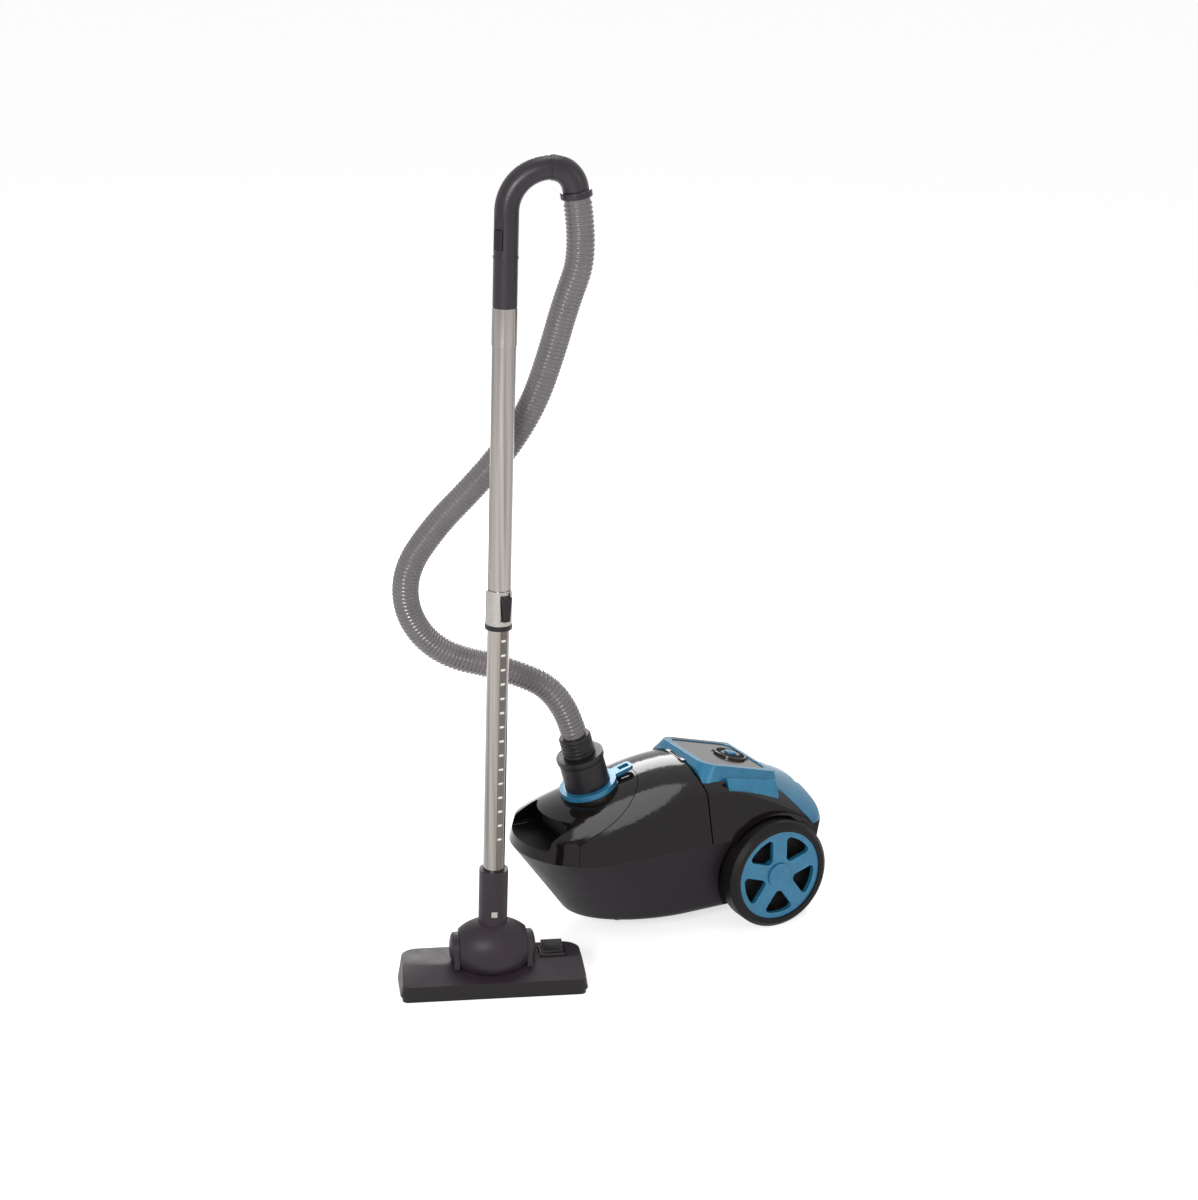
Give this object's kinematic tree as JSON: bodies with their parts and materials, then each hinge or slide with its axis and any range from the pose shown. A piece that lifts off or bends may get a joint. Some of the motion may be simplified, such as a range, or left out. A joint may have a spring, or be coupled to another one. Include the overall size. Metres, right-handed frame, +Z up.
{
  "type": "canister vacuum cleaner",
  "caption": "Canister vacuum cleaner with ribbed suction hose, telescopic steel wand, bent handle and swivelling floor nozzle; lid, wheels, caster, pedals, dial and latches move.",
  "frame": {"origin": "centre of the footprint of canister and wand on the floor", "axes": "+Z up, -Y towards the nose of the canister, +X to the canister's side on which the wand stands"},
  "size_m": [0.3631, 0.7457, 1.2511],
  "materials": {
    "charcoal_plastic": "fine moulded texture",
    "black_gloss": "polished",
    "blue_plastic": "satin metallic blue",
    "panel_grey": "polished grey",
    "black_plastic": "fine moulded texture",
    "nozzle_plastic": "satin",
    "wheel_rubber": "smooth",
    "tube_steel": "bright",
    "silver_plastic": "silver",
    "hose_grey": "ribbed",
    "pin_steel": "machined",
    "motor_steel": "pressed sheet",
    "seal_rubber": "matte",
    "filter_fleece": "non-woven",
    "bag_paper": "fibrous",
    "card": "plain",
    "bristle": "brush",
    "board_green": "lacquered",
    "brass_metal": "machined"
  },
  "bodies": {
    "body": {"lower_housing": "charcoal_plastic", "front_fascia": "black_gloss", "lid_hinge_pin": "pin_steel", "motor_cover": "black_gloss", "tail_cover": "blue_plastic", "exhaust_grille": "black_plastic", "exhaust_filter": "filter_fleece", "panel_frame": "blue_plastic", "control_panel": "panel_grey", "circuit_board": "board_green", "power_switch": "black_plastic", "wheel_axles": "pin_steel", "caster_pin": "pin_steel", "housing_screws": "pin_steel", "inlet_duct": "black_plastic", "inlet_seal": "seal_rubber", "hose_connector": "black_plastic", "bag_collar": "card", "dust_bag": "bag_paper", "filter_frame": "black_plastic", "motor_filter": "filter_fleece", "motor_mounts": "seal_rubber", "fan_cover": "motor_steel", "motor_casing": "motor_steel", "reel_axle": "pin_steel", "cord_outlet": "black_plastic", "upper_tube": "tube_steel", "tube_sleeve": "silver_plastic", "sleeve_ring": "black_plastic", "handle_grip": "black_plastic", "hose_elbow": "black_plastic", "suction_hose": "hose_grey"},
    "lid_body": {"lid": "black_gloss"},
    "latch": {"lid_latch": "black_plastic"},
    "wheel_right": {"right_wheel": "wheel_rubber", "right_rim": "blue_plastic"},
    "wheel_left": {"left_wheel": "wheel_rubber", "left_rim": "blue_plastic"},
    "caster_swivel": {"caster_fork": "charcoal_plastic"},
    "caster_roll": {"caster_wheel": "wheel_rubber"},
    "dial": {"power_dial": "panel_grey", "dial_cap": "blue_plastic"},
    "pedal_cord": {"cord_pedal": "blue_plastic"},
    "pedal_power": {"power_pedal": "blue_plastic"},
    "lock_ring": {"hose_lock_ring": "blue_plastic"},
    "cuff_low": {"hose_cuff_lower": "black_plastic"},
    "cuff_top": {"hose_cuff_upper": "hose_grey"},
    "slider": {"air_slider": "nozzle_plastic"},
    "tube_release": {"tube_latch": "black_plastic"},
    "lower_wand": {"lower_tube": "tube_steel", "nozzle_neck": "nozzle_plastic"},
    "button": {"neck_button": "silver_plastic"},
    "nozzle_head": {"nozzle_housing": "nozzle_plastic", "nozzle_sole": "black_plastic", "swivel_pins": "pin_steel", "pedal_pin": "pin_steel"},
    "rocker": {"nozzle_pedal": "nozzle_plastic"},
    "brush": {"brush_strip": "bristle"},
    "rotor": {"motor_rotor": "motor_steel"},
    "reel": {"cord_reel": "charcoal_plastic"}
  },
  "joints": [
    {"name": "lid_hinge", "type": "hinge", "parent": "body", "child": "lid_body", "pos_m": [-0.042, 0.1555, 0.2554], "axis": [-1, 0, 0], "range_deg": [0, 65]},
    {"name": "latch_push", "type": "slide", "parent": "body", "child": "latch", "axis": [0, 1, 0], "range_m": [0, 0.006], "stiffness_N_per_m": 400},
    {"name": "right_wheel_spin", "type": "hinge", "parent": "body", "child": "wheel_right", "pos_m": [-0.042, 0.265, 0.087], "axis": [1, 0, 0], "continuous": true},
    {"name": "left_wheel_spin", "type": "hinge", "parent": "body", "child": "wheel_left", "pos_m": [-0.042, 0.265, 0.087], "axis": [1, 0, 0], "continuous": true},
    {"name": "caster_turn", "type": "hinge", "parent": "body", "child": "caster_swivel", "pos_m": [-0.042, 0.043, 0.04], "axis": [0, 0, 1], "continuous": true},
    {"name": "caster_spin", "type": "hinge", "parent": "caster_swivel", "child": "caster_roll", "pos_m": [-0.042, 0.055, 0.017], "axis": [1, 0, 0], "continuous": true},
    {"name": "dial_turn", "type": "hinge", "parent": "body", "child": "dial", "pos_m": [-0.042, 0.257, 0.24055], "axis": [0, 0.2622, 0.965], "range_deg": [0, 270]},
    {"name": "cord_pedal_press", "type": "slide", "parent": "body", "child": "pedal_cord", "axis": [0, 0, -1], "range_m": [0, 0.005], "stiffness_N_per_m": 600},
    {"name": "power_pedal_press", "type": "slide", "parent": "body", "child": "pedal_power", "axis": [0, 0, -1], "range_m": [0, 0.005], "stiffness_N_per_m": 600},
    {"name": "lock_ring_turn", "type": "hinge", "parent": "body", "child": "lock_ring", "pos_m": [-0.042, 0.003, 0.232], "axis": [0, -0.2756, 0.9613], "range_deg": [0, 30]},
    {"name": "lower_cuff_spin", "type": "hinge", "parent": "body", "child": "cuff_low", "pos_m": [-0.042, 0.003, 0.232], "axis": [0, -0.2756, 0.9613], "continuous": true},
    {"name": "upper_cuff_spin", "type": "hinge", "parent": "body", "child": "cuff_top", "pos_m": [0.12791, -0.11851, 1.20367], "axis": [0.0548, 0.1428, -0.9882], "continuous": true},
    {"name": "air_slide", "type": "slide", "parent": "body", "child": "slider", "axis": [0.0075, 0.0196, 0.9998], "range_m": [0, 0.014]},
    {"name": "tube_release_slide", "type": "slide", "parent": "body", "child": "tube_release", "axis": [0.0075, 0.0196, 0.9998], "range_m": [0, 0.006], "stiffness_N_per_m": 300},
    {"name": "tube_telescope", "type": "slide", "parent": "body", "child": "lower_wand", "axis": [0.0075, 0.0196, 0.9998], "range_m": [0, 0.3]},
    {"name": "neck_button_press", "type": "slide", "parent": "lower_wand", "child": "button", "axis": [-0.9336, 0.3584, 0], "range_m": [0, 0.0015], "stiffness_N_per_m": 500},
    {"name": "nozzle_swivel", "type": "hinge", "parent": "lower_wand", "child": "nozzle_head", "pos_m": [0.0855, -0.229, 0.066], "axis": [0.3584, 0.9336, 0], "range_deg": [-5, 70]},
    {"name": "rocker_tilt", "type": "hinge", "parent": "nozzle_head", "child": "rocker", "pos_m": [0.10167, -0.13666, 0.039], "axis": [0.3584, 0.9336, 0], "range_deg": [0, 9]},
    {"name": "brush_lift", "type": "slide", "parent": "nozzle_head", "child": "brush", "axis": [0, 0, 1], "range_m": [0, 0.004]},
    {"name": "motor_spin", "type": "hinge", "parent": "body", "child": "rotor", "pos_m": [-0.078, 0.215, 0.098], "axis": [0, 1, 0], "continuous": true},
    {"name": "reel_spin", "type": "hinge", "parent": "body", "child": "reel", "pos_m": [-0.042, 0.259, 0.108], "axis": [1, 0, 0], "continuous": true}
  ],
  "couplings": [
    {"joint": "brush_lift", "follows": "rocker_tilt", "m_per_rad": 0.025465}
  ]
}
